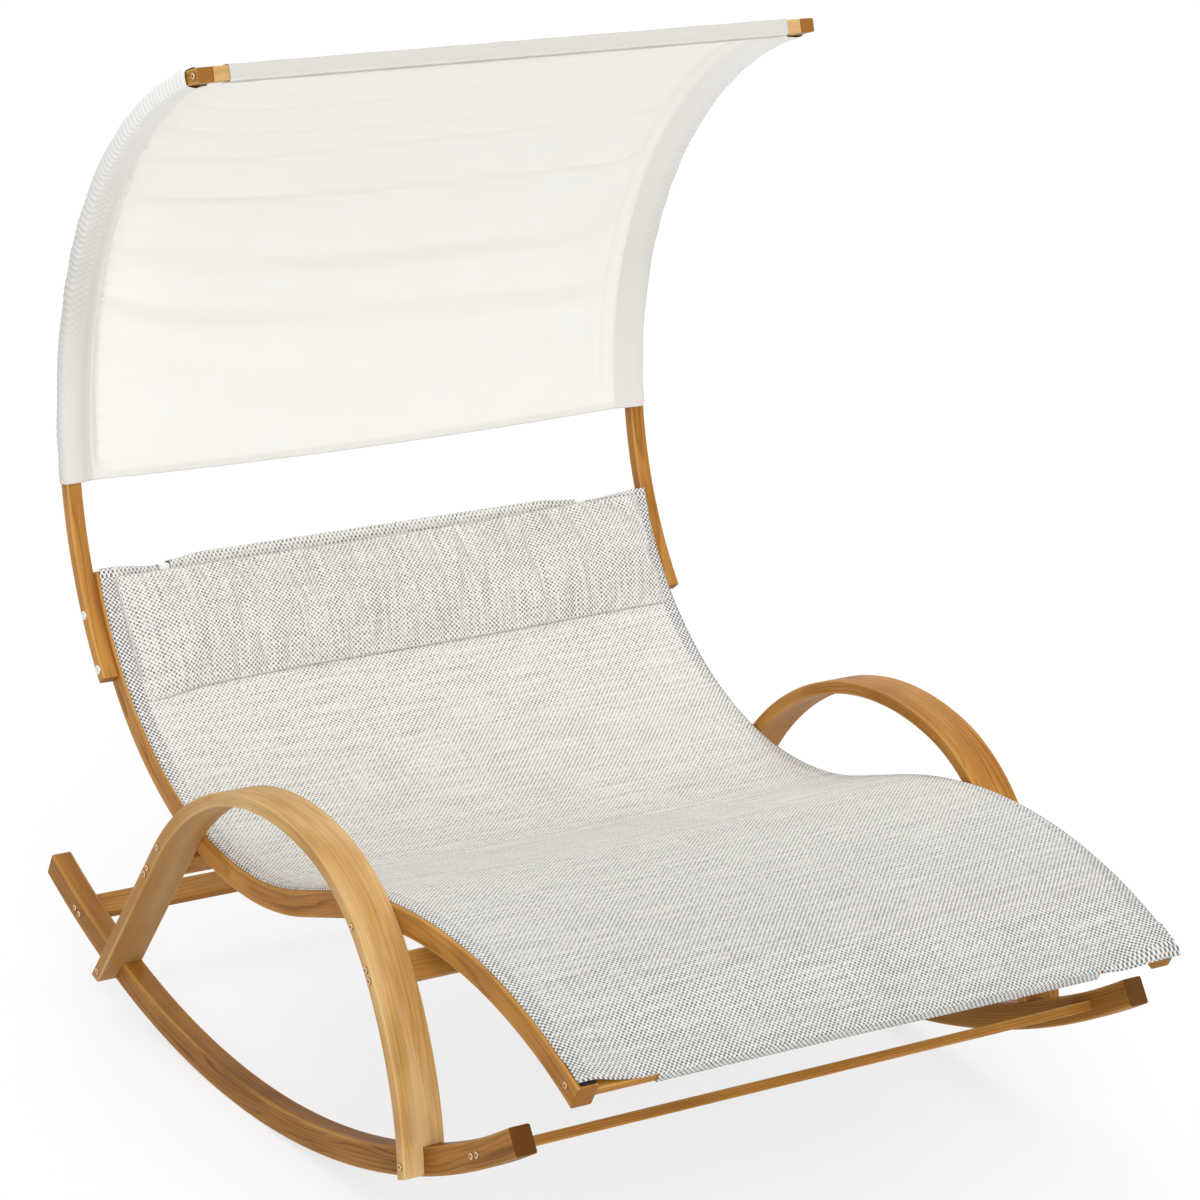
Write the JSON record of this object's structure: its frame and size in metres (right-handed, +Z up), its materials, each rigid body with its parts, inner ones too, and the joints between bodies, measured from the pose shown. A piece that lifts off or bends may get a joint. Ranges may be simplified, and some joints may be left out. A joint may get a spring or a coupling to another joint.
{
  "type": "double rocking lounger",
  "caption": "Wide rocking sun lounger: bent-wood rockers and arm arches carry a waved woven sling with a head pillow, under an arched cloth canopy on curved posts.",
  "frame": {"origin": "on the floor, under the middle of the whole lounger's outline", "axes": "+X to the right for someone looking from the foot end, +Y from the foot end to the back, +Z up"},
  "size_m": [1.3804, 1.829, 1.8413],
  "materials": {
    "wood": "oiled, satin",
    "sling_weave": "coarse flecked weave",
    "pillow_weave": "coarse flecked weave",
    "strap_webbing": "flat webbing",
    "canopy_cloth": "plain cloth",
    "hem_strip": "matt",
    "brass_screws": "satin",
    "steel_bolts": "bright"
  },
  "bodies": {
    "lounger": {"arch_foot_screws": "brass_screws", "bar_bolts": "brass_screws", "canopy_cloth": "canopy_cloth", "canopy_top_bar": "wood", "foot_bar": "wood", "front_rocker_batten": "wood", "front_seat_beam": "wood", "head_bar": "wood", "left_arm_arch": "wood", "left_canopy_post": "wood", "left_pillow_strap": "strap_webbing", "left_rocker": "wood", "left_seat_rail": "wood", "left_sling_strip": "hem_strip", "post_bolts": "steel_bolts", "post_nuts": "steel_bolts", "post_washers": "steel_bolts", "rail_screws": "brass_screws", "rear_rocker_batten": "wood", "rear_seat_beam": "wood", "right_arm_arch": "wood", "right_canopy_post": "wood", "right_pillow_strap": "strap_webbing", "right_rocker": "wood", "right_seat_rail": "wood", "right_sling_strip": "hem_strip", "rocker_batten_bolts": "brass_screws", "seat_beam_bolts": "brass_screws", "sling": "sling_weave", "top_bar_screws": "brass_screws"},
    "pillow": {"pillow": "pillow_weave"}
  },
  "joints": [
    {"name": "pillow_flip", "type": "hinge", "parent": "lounger", "child": "pillow", "pos_m": [0, 0.76382, 0.79817], "axis": [-1, 0, 0], "range_deg": [0, 110]}
  ]
}
